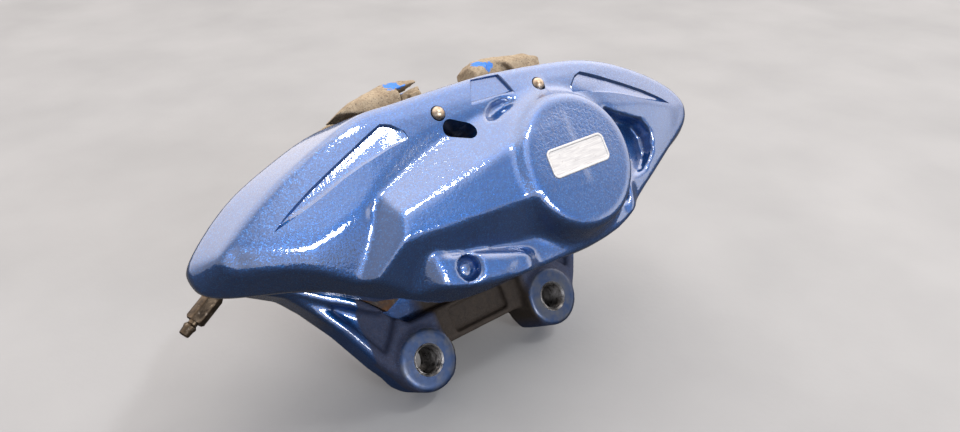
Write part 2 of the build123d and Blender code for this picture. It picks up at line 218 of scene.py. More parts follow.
def relax(points, quads, rounds):
    """Take out the grid's ripple without shrinking the shape."""
    ends = np.vstack([quads[:, [k, (k + 1) % 4]] for k in range(4)])
    count = np.bincount(ends[:, 0], minlength=len(points))[:, None] * 1.0
    for turn in range(2 * rounds):
        mean = np.stack([np.bincount(ends[:, 0], points[ends[:, 1], c], len(points))
                         for c in range(3)], axis=1)
        points = points + (mean / count - points) * (0.5 if turn % 2 == 0 else -0.52)
    return points


# ---- the housing's outlines, from the top middle round the right end to the bottom middle ----
FRONT = rounded_loop([(0, 48.5), (45, 47.6), (66, 44), (86, 36.4), (102, 27.5), (111, 20),
                      (114.5, 12.5), (110, 4.5), (99, -3.5), (78, -16), (46, -33.5), (0, -37)],
                     [(0, 48.5), (42, 47), (62, 45.5), (90, 34), (107, 24), (119, 15.5),
                      (121.5, 12), (116, 8), (101, 0), (76, -15.5), (44, -31), (0, -37)])
RIM = rounded_loop([(0, 51.5), (42, 50), (72, 47.8), (96, 40.5), (114, 31.5), (127, 20.5),
                    (132, 10.5), (126, 0), (99, -12.5), (74, -25), (46, -37.5), (0, -38.5)],
                   [(0, 51.5), (42, 50), (72, 47.8), (96, 40), (115, 31), (132, 17.5), (135.5, 9.5),
                    (129, 0.5), (97, -9.5), (72, -23), (44, -37), (0, -38.5)])
INBOARD = rounded_loop([(0, 50), (42, 48.5), (70, 45), (86, 40), (100, 33), (116, 19), (120, 12.5),
                        (110, 6.5), (92, -6), (70, -22), (44, -36), (0, -38.5)])
BACK = rounded_loop([(0, 42), (38, 40.5), (62, 37.5), (78, 32), (92, 25), (107, 13), (111, 8),
                     (103, 3.5), (84, -6), (64, -19), (41, -31), (0, -32)])
STATIONS = [(-50, FRONT), (-30, RIM), (30, INBOARD), (50, INBOARD), (58, BACK)]
# sunk middle of the front face, tapered panels, small panel, recess by the boss, arms
SINK = np.array([(0, 36), (-20, 35.5), (-34, 34.5), (-45, 31.5), (-59, 23), (-74, 12), (-73, 4),
                 (-67, -6), (-55, -16), (-37, -20.5), (-20, -26), (-5, -32), (40, -33), (57, -26),
                 (64, -16), (68, 10), (59, 22), (44, 31), (30, 34)], float)
LIP = np.array([(-43, -22), (-36, -21), (-23, -25), (-15, -30), (-25, -34.5), (-42, -32)], float)
HOLLOW = np.array([(-8.5, 28.6), (-5, 33), (-0.6, 36), (5, 37), (10.5, 35.8), (14.5, 33.6),
                   (6, 30.2), (-2.5, 27.6)], float)
ARROW_TILT = -0.10
ARROW = [(-107, 14.8), (-99, 19.6), (-90, 24.4), (-80, 29), (-69, 33.8), (-54, 40.2), (-50, 38.8),
         (-45.5, 35), (-44.5, 32), (-54, 30.6), (-67, 27.6), (-76, 25), (-87, 21), (-97, 17.9)]
PATCH = [(-5, 48.3), (9.5, 47.4), (13, 38.4), (-10, 38.4)]
SIDE_POCKET = np.array([(60, 18), (67, 13.5), (83, 7), (87, 0), (85, -9), (77, -16), (60, -20)],
                       float)
ARM_POCKET = [(-86, -9), (-67, -12), (-44, -20), (-44, -32), (-51, -42), (-58.5, -51), (-67, -35),
              (-76, -20)]
ARM = [(-111, 6), (-104, -2), (-92, -9), (-84, -19), (-73.5, -35), (-62.5, -56), (-54, -69),
       (-46, -74), (-30, -74), (-26, -58), (-26, -28), (-70, 4), (-90, 8)]


def front_height(x, z):
    """How far the front face stands out, over the caliper's (x, z)."""
    edge = outline_distance(FRONT, x, z)
    height = 50 - 0.8 * (1 - np.clip(-edge / 16, 0, 1)) ** 2
    height = height - 4.6 * np.clip((np.abs(x) - 62) / 58, 0, 1.2) ** 1.5
    # the lower part of each end falls away below a crease
    left_line = np.interp(x, [-122, -116, -107, -97, -86, -72, -60],
                          [15.5, 9.8, 6.4, 4.2, 7.3, 11.7, 10])
    right_line = np.interp(x, [60, 86, 105, 122], [22, 18, 13.5, 12])
    below = 0.5 * (left_line - z + np.sqrt((left_line - z) ** 2 + 9)) - 0.8
    height = height - 0.28 * np.maximum(below, 0) * ramp((-52 - x) / 12)
    height = height - 0.17 * np.maximum(right_line - z, 0) * ramp((x - 56) / 12)
    height = height - 0.10 * np.maximum(z - 40, 0)
    # raised lip beside the blind hole
    height = height + 0.5 * ramp(-outline_distance(LIP, x, z) / 3)
    # the rim under the boss is lower, so that the wedge runs out over it
    height = height - 4.0 * ramp((x + 13) / 9) * ramp((-15 - z) / 7) * ramp((66 - x) / 14)
    # sunk middle, with long slopes down from the rail and from the left plate
    low_part = ramp((-6 - z) / 6)
    run = 5.5 + 4.5 * ramp((z - 16) / 10) + low_part * (7.5 * ramp((-44 - x) / 10) - 2)
    floor_level = 45.6 + 2.8 * ramp((z - 1) / 12) * ramp((-6 - x) / 12)
    height = height + (floor_level - height) * ramp(-outline_distance(SINK, x, z) / run)
    # wedge that runs into the round boss
    crest = 54.6 + np.clip((x + 62) / 56, 0, 1.15) * 3.2
    ridge = 4 + (x + 62) * 10 / 54
    foot = -5 - (x + 65) * 2 / 50
    wedge = union(crest, crest - 0.44 * (z - ridge), 1.0)
    wedge = union(wedge, crest - 0.74 * (foot - z), 1.2)
    wedge = union(wedge, 54.6 - 0.78 * (-62 - (5 - z) * 0.3 - x), 1.0)
    wedge = union(wedge, 58 - 2 * (x - 26), 1.0)
    height = both(height, wedge, 1.4)
    # hollow between the rail and the wedge's upper slope
    return height - 3.2 * ramp(-outline_distance(HOLLOW, x, z) / 2.6)


def blended_outline(counts, y, xs, zs, sag):
    """Distance to the housing's outline, blended from station to station along Y."""
    outline = np.empty(counts, np.float32)
    places = [place for place, _ in STATIONS]
    for row, place in enumerate(y[0, :, 0]):
        k = int(np.clip(np.searchsorted(places, place) - 1, 0, len(STATIONS) - 2))
        (y0, first), (y1, second) = STATIONS[k], STATIONS[k + 1]
        t = np.clip((place - y0) / (y1 - y0), 0, 1)
        if k == 1:
            # the bridges, level where they meet the halves
            t = 0.5 - 0.5 * math.cos(math.pi * t)
        sagging = zs + sag * np.clip((8 - place) / 38, 0, 1)
        outline[:, row] = outline_distance(first + (second - first) * t, xs, sagging)
    return outline


def with_bosses(field, from_boss, x, y, z):
    """Adds the bosses, the wall behind the pads and the web between the ears."""
    # round boss over the right outboard piston, widening towards its foot
    cone = (from_boss - 30.0 - (y - BOSS_FACE) * 0.34) * 0.947
    boss = both(both(cone, BOSS_FACE - y, 3.6), y + 40, 1.0)
    field = union(field, boss, 4.2)
    for side in (-1, 1):
        rear = from_axis(x, z, side * BORE_X, 0) - 24.4 + np.maximum(y - 58, 0) * 0.25
        field = union(field, both(both(rear, y - 62, 2.5), 45 - y, 1.0), 4.0)
    wall = both(both(slab(x, 0, 60), slab(z, -35, 9), 3), slab(y, 43, 7), 2)
    field = union(field, wall, 4)
    web = both(both(slab(x, 0, 32), slab(z, -48.5, 12.3), 3), slab(y, 33.5, 8.4), 2)
    hollow = both(both(slab(x, 0, 17), slab(z, -51, 6.4), 2), y - 29, 1)
    field = union(field, cut(web, hollow, 1.2), 2.5)
    hose = both(both(from_axis(x, z, 0, HOSE_Z) - 9.9, y - 80, 1.2), 42 - y, 1)
    return union(field, hose, 5)


def with_arms(field, xs, zs, x, y, z):
    """Adds the two arms with their pockets, and the mounting ears."""
    for arm, pocket, side in zip(mirrored(ARM), mirrored(ARM_POCKET), (-1, 1)):
        body = both(outline_distance(arm, xs, zs)[:, None, :], slab(y, 31, 11), 2.4)
        hollow = both(outline_distance(pocket, xs, zs)[:, None, :], y - 23.2, 1.2)
        field = union(field, cut(body, hollow, 2), 4)
        ear = from_axis(x, z, side * EAR_X, EAR_Z) - EAR_RADIUS
        field = union(field, both(ear, slab(y, EAR_Y, 12), 1.0), 2.5)
    return field


def with_openings(field, from_boss, xs, sagging, x, y, z):
    """Cuts the slot for the disc, the window for the pads, the side recess and the blind holes."""
    half_slot, disc_centre, slot_radius = 17, -141, 177
    disc = from_axis(x, z, 0, disc_centre) - slot_radius
    field = cut(field, both(slab(y, 0, half_slot), disc, 0.8), 1.2)
    half_window, half_depth, corner = 63, 27, 5
    qx, qy = slab(x, 0, half_window), slab(y, 0, half_depth)
    window = np.sqrt(np.maximum(qx, 0) ** 2 + np.maximum(qy, 0) ** 2)
    window = window + np.minimum(np.maximum(qx, qy), 0) - corner
    # the window's foot leaves the inboard side's lower corners standing
    foot = np.where(y > 0, (np.abs(x) - z - 84) * 0.707, -41 - z)
    field = cut(field, np.maximum(np.maximum(window, -42 - z), foot), 1.6)
    # its floor rises to the right, and the boss stands clear of it
    recess = outline_distance(SIDE_POCKET, xs, sagging - 3.4)[:, None, :]
    recess = both(recess, y + 40.5 - 0.30 * (x - 75), 2.0)
    field = cut(field, cut(recess, from_boss - 33, 1.0), 1.0)
    for hole_x, hole_z in ((-40, -24.4), (54, -22)):
        depth = np.maximum(y + 46.5, 0) * 1.1
        dimple = np.sqrt((x - hole_x) ** 2 + (z - hole_z) ** 2 + depth ** 2) - 5.1
        field = cut(field, dimple, 0.9)
    return field


def casting(step):
    """The painted casting as points and quads, from its field sampled every step (mm)."""
    low = np.array([-140.4, -66.3, -82.2])
    spans = (281.5, 152, 139)
    counts = [int(span / step) for span in spans]
    x = (low[0] + step * np.arange(counts[0])).astype(np.float32)[:, None, None]
    y = (low[1] + step * np.arange(counts[1])).astype(np.float32)[None, :, None]
    z = (low[2] + step * np.arange(counts[2])).astype(np.float32)[None, None, :]
    xs = x[:, 0]
    zs = z[0] + 0 * xs
    sag = DROOP * np.maximum(xs - DROOP_FROM, 0)
    sagging = zs + sag
    outline = blended_outline(counts, y, xs, zs, sag)
    field = both(outline, -y - front_height(xs, sagging)[:, None, :], 1.5)
    field = both(field, y - 58, 2.0)
    from_boss = from_axis(x, z, BOSS_X, 0)
    field = with_bosses(field, from_boss, x, y, z)
    field = with_arms(field, xs, zs, x, y, z)
    field = with_openings(field, from_boss, xs, sagging, x, y, z)
    # soften everything by about half a grid step
    for axis in range(3):
        field = 0.7 * field + 0.15 * (np.roll(field, 1, axis) + np.roll(field, -1, axis))
    return surface_net(field, low, step)


# ---- materials ----
class Nodes:
    """A new material with a few shorthands for its nodes."""

    def __init__(self, name, **shader):
        self.material = bpy.data.materials.new(name)
        self.material.use_nodes = True
        self.tree = self.material.node_tree
        self.shader = self.tree.nodes["Principled BSDF"]
        self.place = self.node("ShaderNodeTexCoord").outputs["Object"]
        for socket, value in shader.items():
            self.shader.inputs[socket.replace("_", " ")].default_value = value

    def node(self, kind, settings=(), **inputs):
        made = self.tree.nodes.new(kind)
        for key, value in dict(settings).items():
            setattr(made, key, value)
        for key, value in inputs.items():
            self.feed(made.inputs[key.replace("_", " ")], value)
        return made

    def feed(self, socket, value):
        if isinstance(value, bpy.types.NodeSocket):
            self.tree.links.new(value, socket)
        else:
            socket.default_value = value

    def noise(self, scale, detail=3.0, roughness=0.5, distortion=0.0):
        return self.node("ShaderNodeTexNoise", Vector=self.place, Scale=scale, Detail=detail,
                         Roughness=roughness, Distortion=distortion).outputs["Fac"]

    def math(self, kind, a, b=0.0, clamp=False):
        made = self.node("ShaderNodeMath", {"operation": kind, "use_clamp": clamp})
        self.feed(made.inputs[0], a)
        self.feed(made.inputs[1], b)
        return made.outputs[0]

    def ramp(self, value, *stops):
        """Colour or grey ramp: stops are (place, colour or grey)."""
        made = self.node("ShaderNodeValToRGB", Fac=value)
        band = made.color_ramp.elements
        while len(band) < len(stops):
            band.new(0.5)
        for element, (place, colour) in zip(band, stops):
            element.position = place
            colour = colour if isinstance(colour, tuple) else (colour, colour, colour)
            element.color = (*colour, 1)
        return made.outputs["Color"]

    def mix(self, fac, a, b, kind="MIX"):
        made = self.node("ShaderNodeMix", {"data_type": "RGBA", "blend_type": kind})
        for k, value in ((0, fac), (6, a), (7, b)):
            value = (*value, 1) if isinstance(value, tuple) and len(value) == 3 else value
            self.feed(made.inputs[k], value)
        return made.outputs[2]

    def bump(self, height, strength, distance, normal=None):
        made = self.node("ShaderNodeBump", Height=height, Strength=strength, Distance=distance)
        if normal is not None:
            self.feed(made.inputs["Normal"], normal)
        return made.outputs["Normal"]

    def near(self, point, radius):
        """1 at a point of the caliper's own frame, falling to 0 at radius (mm)."""
        where = TO_ROW @ Vector(point)
        gap = self.node("ShaderNodeVectorMath", {"operation": "DISTANCE"})
        self.feed(gap.inputs[0], self.place)
        self.feed(gap.inputs[1], tuple(where))
        share = self.math("DIVIDE", gap.outputs["Value"], radius * 0.001)
        return self.math("SUBTRACT", 1.0, share, True)

    def set(self, **links):
        for socket, value in links.items():
            self.feed(self.shader.inputs[socket.replace("_", " ")], value)
        return self.material


def paint():
    m = Nodes("blue_paint", Coat_Roughness=0.03, Coat_IOR=2.35)
    cells = m.node("ShaderNodeTexVoronoi", Vector=m.place, Scale=3200.0)
    grain = m.node("ShaderNodeSeparateColor", Color=cells.outputs["Color"])
    glitter = m.math("POWER", grain.outputs[0], 5.0)
    cloud = m.noise(60.0)
    cloud = m.ramp(cloud, (0.3, 0.0), (0.7, 1.0))
    deep = m.mix(cloud, (0.003, 0.058, 0.225), (0.005, 0.070, 0.260))
    colour = m.mix(glitter, deep, (0.015, 0.16, 0.48))
    rough = m.node("ShaderNodeAttribute", {"attribute_name": "cast"}).outputs["Fac"]
    # brown dust where the wheel never gets wiped, and painted shade: the same dark colour and dull
    # coat where shade falls between the ears and inside the window
    dust_and_shade = m.node("ShaderNodeAttribute", {"attribute_name": "grime_and_shade"}).outputs["Fac"]
    dulled = m.math("MULTIPLY", dust_and_shade, 1.8)
    m.feed(m.shader.inputs["Coat Weight"], m.math("SUBTRACT", 1.0, dulled, True))
    streaks = m.math("ADD", m.math("MULTIPLY", m.noise(130.0, 5.0, 0.65), 0.9), dust_and_shade)
    dust_and_shade = m.math("MULTIPLY", dust_and_shade, m.ramp(streaks, (0.45, 0.25), (1.1, 1.0)))
    # this dark brown-black colour stands for dust and also for painted shade in the hollows
    soot_and_shade = m.mix(m.noise(420.0, 4.0), (0.020, 0.016, 0.014), (0.060, 0.044, 0.032))
    m.feed(m.shader.inputs["Base Color"], m.mix(dust_and_shade, colour, soot_and_shade))
    m.feed(m.shader.inputs["Metallic"], m.math("SUBTRACT", 0.9, m.math("MULTIPLY", dust_and_shade, 0.7)))
    shine = m.ramp(grain.outputs[1], (0.0, 0.30), (1.0, 0.48))
    m.feed(m.shader.inputs["Roughness"], m.math("ADD", shine, m.math("MULTIPLY", dust_and_shade, 0.4)))
    peel = m.noise(330.0, 1.0)
    wrinkle = m.noise(760.0, 2.0, 0.55, 0.6)
    surface = m.bump(peel, 0.10, 0.0004)
    surface = m.bump(wrinkle, m.math("MULTIPLY", rough, 0.55), 0.0004, surface)
    lift = m.node("ShaderNodeVectorMath", {"operation": "MULTIPLY_ADD"})
    m.feed(lift.inputs[0], cells.outputs["Color"])
    m.feed(lift.inputs[1], (0.26, 0.26, 0.26))
    m.feed(lift.inputs[2], surface)
    back = m.node("ShaderNodeVectorMath", {"operation": "SUBTRACT"})
    m.feed(back.inputs[0], lift.outputs[0])
    m.feed(back.inputs[1], (0.13, 0.13, 0.13))
    flat = m.node("ShaderNodeVectorMath", {"operation": "NORMALIZE"})
    m.feed(flat.inputs[0], back.outputs[0])
    return m.set(Normal=flat.outputs[0], Coat_Normal=surface)


def overspray():
    m = Nodes("thin_blue_paint", Metallic=0.75, Coat_Weight=0.5, Coat_Roughness=0.22)
    patch = m.ramp(m.noise(110.0, 4.0, 0.6), (0.42, 0.0), (0.66, 1.0))
    m.feed(m.shader.inputs["Base Color"], m.mix(patch, (0.012, 0.035, 0.10), (0.060, 0.068, 0.085)))
    m.feed(m.shader.inputs["Roughness"], m.ramp(m.noise(500.0), (0.3, 0.32), (0.7, 0.52)))
    return m.set(Normal=m.bump(m.noise(900.0, 2.0), 0.2, 0.0002))


def metal(name, dark, light, low, high, scale=300.0, strength=0.15, metallic=1.0):
    """Bare metal with mottled colour, uneven roughness and fine marks."""
    m = Nodes(name, Metallic=metallic)
    spots = m.ramp(m.noise(scale, 4.0, 0.6), (0.35, 0.0), (0.68, 1.0))
    m.feed(m.shader.inputs["Base Color"], m.mix(spots, dark, light))
    m.feed(m.shader.inputs["Roughness"], m.ramp(m.noise(scale * 2.1, 3.0), (0.3, low), (0.7, high)))
    return m.set(Normal=m.bump(m.noise(scale * 5, 2.0), strength, 0.0002))


def rubber():
    m = Nodes("black_rubber", Roughness=0.62)
    dust = m.ramp(m.noise(160.0, 4.0, 0.65), (0.5, 0.0), (0.8, 1.0))
    m.feed(m.shader.inputs["Base Color"], m.mix(dust, (0.014, 0.014, 0.015), (0.075, 0.065, 0.055)))
    return m.set(Normal=m.bump(m.noise(1200.0, 2.0), 0.2, 0.0002))


def friction():
    m = Nodes("friction_lining", Roughness=0.9)
    cells = m.node("ShaderNodeTexVoronoi", Vector=m.place, Scale=900.0)
    fleck = m.node("ShaderNodeSeparateColor", Color=cells.outputs["Color"]).outputs[0]
    bright = m.math("POWER", fleck, 9.0)
    base = m.mix(m.noise(400.0, 4.0), (0.022, 0.021, 0.022), (0.075, 0.068, 0.06))
    m.feed(m.shader.inputs["Base Color"], m.mix(bright, base, (0.42, 0.30, 0.16)))
    return m.set(Normal=m.bump(m.noise(1100.0, 4.0, 0.7), 0.6, 0.0004))


def backplate():
    m = Nodes("rusty_backplate", Metallic=0.2)
    rust = m.ramp(m.noise(120.0, 6.0, 0.68), (0.42, 0.0), (0.6, 1.0))
    base = m.mix(rust, (0.026, 0.024, 0.024), (0.13, 0.062, 0.028))
    flakes = m.ramp(m.noise(700.0, 3.0), (0.55, 0.0), (0.75, 0.7))
    m.feed(m.shader.inputs["Base Color"], m.mix(flakes, base, (0.26, 0.16, 0.09)))
    m.feed(m.shader.inputs["Roughness"], m.ramp(rust, (0.0, 0.5), (1.0, 0.88)))
    return m.set(Normal=m.bump(m.noise(620.0, 5.0, 0.7), 0.45, 0.0005))


def cast_iron():
    m = Nodes("rough_cast_weight", Metallic=0.15)
    large = m.ramp(m.noise(90.0, 5.0, 0.62), (0.36, 0.0), (0.66, 1.0))
    small = m.ramp(m.noise(620.0, 4.0, 0.7), (0.40, 0.0), (0.66, 1.0))
    base = m.mix(large, (0.22, 0.160, 0.100), (0.38, 0.300, 0.200))
    base = m.mix(m.math("MULTIPLY", small, 0.55), base, (0.56, 0.47, 0.34))
    pits = m.ramp(m.noise(1300.0, 2.0), (0.58, 0.0), (0.72, 1.0))
    base = m.mix(m.math("MULTIPLY", pits, 0.8), base, (0.045, 0.032, 0.022))
    edge = m.ramp(m.noise(500.0, 3.0), (0.35, 0.0), (0.62, 0.55))
    # dabs of blue marking paint
    for spot, reach in (((-29, -26, 60.5), 5.5), ((-26, -28.4, 57.5), 4.5),
                        ((18, -26.5, 60), 4.6), ((22, -28, 57), 4.2)):
        dab = m.math("ADD", m.near(spot, reach), edge)
        base = m.mix(m.ramp(dab, (0.60, 0.0), (0.70, 1.0)), base, (0.06, 0.23, 0.68))
    m.feed(m.shader.inputs["Base Color"], base)
    m.feed(m.shader.inputs["Roughness"], m.ramp(small, (0.0, 0.74), (1.0, 0.92)))
    grit = m.bump(m.noise(420.0, 6.0, 0.75), 0.75, 0.0009)
    return m.set(Normal=m.bump(m.noise(1600.0, 2.0), 0.5, 0.0004, grit))


def weathered_steel():
    m = Nodes("weathered_steel", Metallic=0.85)
    stain = m.ramp(m.noise(180.0, 5.0, 0.65), (0.36, 0.0), (0.64, 1.0))
    base = m.mix(stain, (0.035, 0.025, 0.017), (0.15, 0.11, 0.072))
    bright = m.ramp(m.noise(520.0, 3.0), (0.62, 0.0), (0.74, 0.7))
    m.feed(m.shader.inputs["Base Color"], m.mix(bright, base, (0.36, 0.31, 0.25)))
    m.feed(m.shader.inputs["Roughness"], m.ramp(stain, (0.0, 0.5), (1.0, 0.34)))
    return m.set(Normal=m.bump(m.noise(900.0, 4.0, 0.6), 0.35, 0.0003))


def blank_badge():
    m = Nodes("satin_badge", Metallic=0.9)
    stretched = m.node("ShaderNodeMapping", Vector=m.place, Scale=(0.06, 1.0, 1.0)).outputs[0]
    lines = m.node("ShaderNodeTexNoise", Vector=stretched, Scale=2600.0, Detail=2.0).outputs["Fac"]
    specks = m.ramp(m.noise(700.0, 3.0), (0.66, 0.0), (0.74, 0.5))
    base = m.mix(m.ramp(lines, (0.3, 0.0), (0.7, 1.0)), (0.50, 0.50, 0.51), (0.68, 0.68, 0.67))
    m.feed(m.shader.inputs["Base Color"], m.mix(specks, base, (0.34, 0.31, 0.27)))
    m.feed(m.shader.inputs["Roughness"], m.ramp(lines, (0.2, 0.42), (0.8, 0.56)))
    return m.set(Normal=m.bump(lines, 0.12, 0.0001))


def pale_floor():
    m = Nodes("pale_floor", Roughness=0.85)
    clouds = m.ramp(m.noise(9.0, 5.0), (0.3, (0.315, 0.325, 0.335)), (0.7, (0.36, 0.37, 0.38)))
    m.feed(m.shader.inputs["Base Color"], clouds)
    return m.set(Normal=m.bump(m.noise(300.0, 3.0), 0.15, 0.0006))


BLUE = paint()
THIN_BLUE = overspray()
MACHINED = metal("machined_aluminium", (0.50, 0.50, 0.51), (0.82, 0.82, 0.81), 0.22, 0.42, 500.0)
THREAD = metal("dirty_thread", (0.07, 0.065, 0.06), (0.42, 0.41, 0.40), 0.26, 0.48, 260.0)
SPRING = metal("spring_steel", (0.36, 0.33, 0.30), (0.62, 0.60, 0.57), 0.26, 0.45, 240.0)
PIN = metal("pin_steel", (0.34, 0.25, 0.17), (0.66, 0.56, 0.45), 0.24, 0.42, 420.0, 0.12)
ZINC = metal("zinc_steel", (0.30, 0.27, 0.22), (0.58, 0.53, 0.44), 0.38, 0.6, 420.0, 0.3)
SLEEVE = metal("dark_sleeve", (0.05, 0.05, 0.055), (0.16, 0.15, 0.14), 0.4, 0.6, 420.0, 0.2, 0.6)
SHIM = metal("shim_steel", (0.24, 0.22, 0.20), (0.50, 0.47, 0.43), 0.34, 0.55, 260.0, 0.2)
RUBBER, LINING, PLATE, IRON = rubber(), friction(), backplate(), cast_iron()
WEATHERED, BADGE = weathered_steel(), blank_badge()


# ---- housing: cast shape from its field, then crisp recesses and the machined holes ----
# what a face of the housing is, which is also its material slot there
PAINTED, BARE, OVERSPRAYED, PANEL = range(4)


def panel(loop, depth, bevel, tilt=0.0):
    """Closed shape that sinks a crisp panel with a chamfered edge into the front face."""
    loop = np.array(loop, float)
    along = np.roll(loop, -1, axis=0) - np.roll(loop, 1, axis=0)
    inward = np.stack([-along[:, 1], along[:, 0]], axis=1) / np.linalg.norm(along, axis=1)[:, None]
    turning = np.sum(loop[:, 0] * np.roll(loop[:, 1], -1) - loop[:, 1] * np.roll(loop[:, 0], -1))
    inward *= np.sign(turning)
    face = front_height(loop[:, 0], loop[:, 1])
    middle = loop.mean(axis=0)
    across = 0.39 * np.sign(middle[0]) * (loop[:, 0] - middle[0])
    rise = tilt * (loop[:, 1] - middle[1] + across)
    rings = ((0.7, face - depth + rise), (0.0, face - 0.3), (-bevel, face + 0.15),
             (-bevel, face + 9))
    points = []
    for inset, height in rings:
        x, z = (loop + inward * inset).T
        points += [(a, -b, c - DROOP * max(a - DROOP_FROM, 0)) for a, b, c in zip(x, height, z)]
    return points, closed_tube(len(rings), len(loop))


def sight_hole():
    """Oval prism, tilted on the sloping face."""
    sides, half_width, straight, tilt = 48, 3.8, 3.7, math.radians(-25)
    oval = []
    for k in range(sides):
        a = 2 * math.pi * k / sides
        along = math.copysign(straight, math.cos(a)) + half_width * math.cos(a)
        across = half_width * math.sin(a)
        oval.append((-20.8 + along * math.cos(tilt) - across * math.sin(tilt),
                     29.2 + along * math.sin(tilt) + across * math.cos(tilt)))
    points = [(x, y, z) for y in (-24, -66) for x, z in oval]
    return points, closed_tube(2, sides)


def cutters():
    """Closed shapes of every recess and machined hole, as one mesh in the caliper's own frame."""
    shapes = [(panel(PATCH, 1.3, 1.1), PANEL)]
    for arrow, depth in zip(mirrored(ARROW), (0.95, 0.7)):
        shapes.append((panel(arrow, depth, 0.6, ARROW_TILT), PANEL))
    for side in (-1, 1):
        bore = [(30, 22.2), (34.2, 22.2), (34.2, 19.05), (35.4, 19.05), (35.4, 21.6), (37.8, 21.6),
                (37.8, 19.05), (46.2, 19.05), (46.3, 17.5)]
        for x in (-BORE_X, BORE_X):
            shapes.append((lathe(bore, (x, 0, 0), (0, side, 0), 128), BARE))
        for x in (-PIN_X, PIN_X):
            hole = [(28, 4.22), (43, 4.22), (43, 3.35), (62, 3.35)]
            if side > 0:
                hole = [(20, 3.05), (49, 3.05), (49, 6), (64, 6)]
            shapes.append((lathe(hole, (x, 0, PIN_Z), (0, side, 0), 48), PAINTED))
        ear = [(16, 9.1), (17.9, 8.0), (19.3, 7.0), (40.7, 7.0), (42.1, 8.0), (44, 9.1)]
        shapes.append((lathe(ear, (side * EAR_X, 0, EAR_Z), (0, 1, 0), 96), BARE))
    hose = [(62, 0.4), (65, 4.9), (78.8, 4.9), (82, 7.4)]
    shapes.append((lathe(hose, (0, 0, HOSE_Z), (0, 1, 0), 64), BARE))
    seat = [(-14, 4.05), (0, 4.05), (0, 6.9), (13, 6.9)]
    shapes.append((lathe(seat, BLEED_SEAT, BLEED_AXIS, 64), BARE))
    shapes.append((sight_hole(), PAINTED))
    all_points, all_faces, kinds = [], [], []
    for (points, faces), kind in shapes:
        base = len(all_points)
        all_points += [tuple(p) for p in points]
        all_faces += [tuple(base + i for i in f) for f in faces]
        kinds += [kind] * len(faces)
    mesh = bpy.data.meshes.new("cutters")
    mesh.from_pydata(all_points, [], all_faces)
    mesh.polygons.foreach_set("material_index", kinds)
    tool = add_object("cutters", mesh)
    # faces outwards, whichever way each shape was turned
    bpy.context.view_layer.objects.active = tool
    tool.select_set(True)
    bpy.ops.object.mode_set(mode="EDIT")
    bpy.ops.mesh.select_all(action="SELECT")
    bpy.ops.mesh.normals_make_consistent(inside=False)
    bpy.ops.object.mode_set(mode="OBJECT")
    tool.select_set(False)
    return tool


def housing():
    coarse, fine = 1.6, 1.15
    points, quads = casting(fine)
    points = relax(points, quads, 2)
    mesh = bpy.data.meshes.new("cast")
    mesh.from_pydata(points.tolist(), [], quads.tolist())
    cast = add_object("cast", mesh)
    tool = cutters()
    for material in (BLUE, MACHINED, THIN_BLUE, BLUE):
        mesh.materials.append(material)
        tool.data.materials.append(material)
    cutting = cast.modifiers.new("holes", "BOOLEAN")
    cutting.operation = "DIFFERENCE"
    cutting.solver = "MANIFOLD"
    cutting.object = tool
    graph = bpy.context.evaluated_depsgraph_get()
    cut_mesh = bpy.data.meshes.new_from_object(cast.evaluated_get(graph))
    if len(cut_mesh.polygons) < len(quads) * 0.5:
        # the fast solver gave up, which leaves next to nothing
        cutting.solver = "EXACT"
        graph = bpy.context.evaluated_depsgraph_get()
        cut_mesh = bpy.data.meshes.new_from_object(cast.evaluated_get(graph))
    for scrap in (cast, tool):
        bpy.data.objects.remove(scrap)
    finish_housing(cut_mesh)
    piece = add_object("housing_shell", cut_mesh)
    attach(piece, "housing")
    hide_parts("caliper_housing")


def read(items, key, width=1, kind=float):
    """One value, or one row of values, for each of a mesh's faces, edges, corners or points."""
    found = np.empty(len(items) * width, kind)
    items.foreach_get(key, found)
    return found if width == 1 else found.reshape(-1, width)


def face_kinds(mesh):
    """Sets the faces on the ears' machined ends to thin overspray, and gives every face's kind."""
    x, y, z = read(mesh.polygons, "center", 3).T
    kind = read(mesh.polygons, "material_index", kind=np.int32)
    to_ear = from_axis(np.abs(x), z, EAR_X, EAR_Z)
    kind[(kind == PAINTED) & (to_ear < 15) & ((y < 18.5) | (y > 41.5))] = OVERSPRAYED
    mesh.polygons.foreach_set("material_index", kind)
    return kind


def mark_masks(mesh):
    """Masks for the paint: how rough the casting is under it, and how much grime and painted shade
    it takes.
    """
    x, y, z = read(mesh.vertices, "co", 3).T
    rough = np.full(len(x), 0.22)
    to_boss = from_axis(x, z, BOSS_X, 0)
    rough += 0.75 * np.clip((27 - to_boss) / 4, 0, 1) * (y < -58) * np.clip((z + 14) / 26, 0.15, 1)
    plate = np.sqrt((x + 40) ** 2 + ((z - 20) * 1.5) ** 2)
    rough += 0.65 * np.clip(1.6 - plate / 16, 0, 1) * (y < -40)
    for arrow in mirrored(ARROW):
        rough += 0.6 * ramp(-outline_distance(arrow, x, z) / 3) * (y < -44)
    rough += 0.5 * np.clip((y - 26) / 20, 0, 1)
    mask = mesh.attributes.new("cast", "FLOAT", "POINT")
    mask.data.foreach_set("value", np.clip(rough, 0, 1))
    # grime and painted shade: low on the inboard half, most of all between the ears, and inside the
    # window, where shade falls
    low = np.clip((-26 - z) / 8, 0, 1) * np.clip((y - 8) / 6, 0, 1)
    dirt_and_shade = low * (0.45 + 0.55 * np.clip((34 - np.abs(x)) / 8, 0, 1))
    dirt_and_shade = np.maximum(dirt_and_shade, 0.75 * (np.abs(y) < 27) * (np.abs(x) < 64))
    grime_and_shade = mesh.attributes.new("grime_and_shade", "FLOAT", "POINT")
    grime_and_shade.data.foreach_set("value", dirt_and_shade)


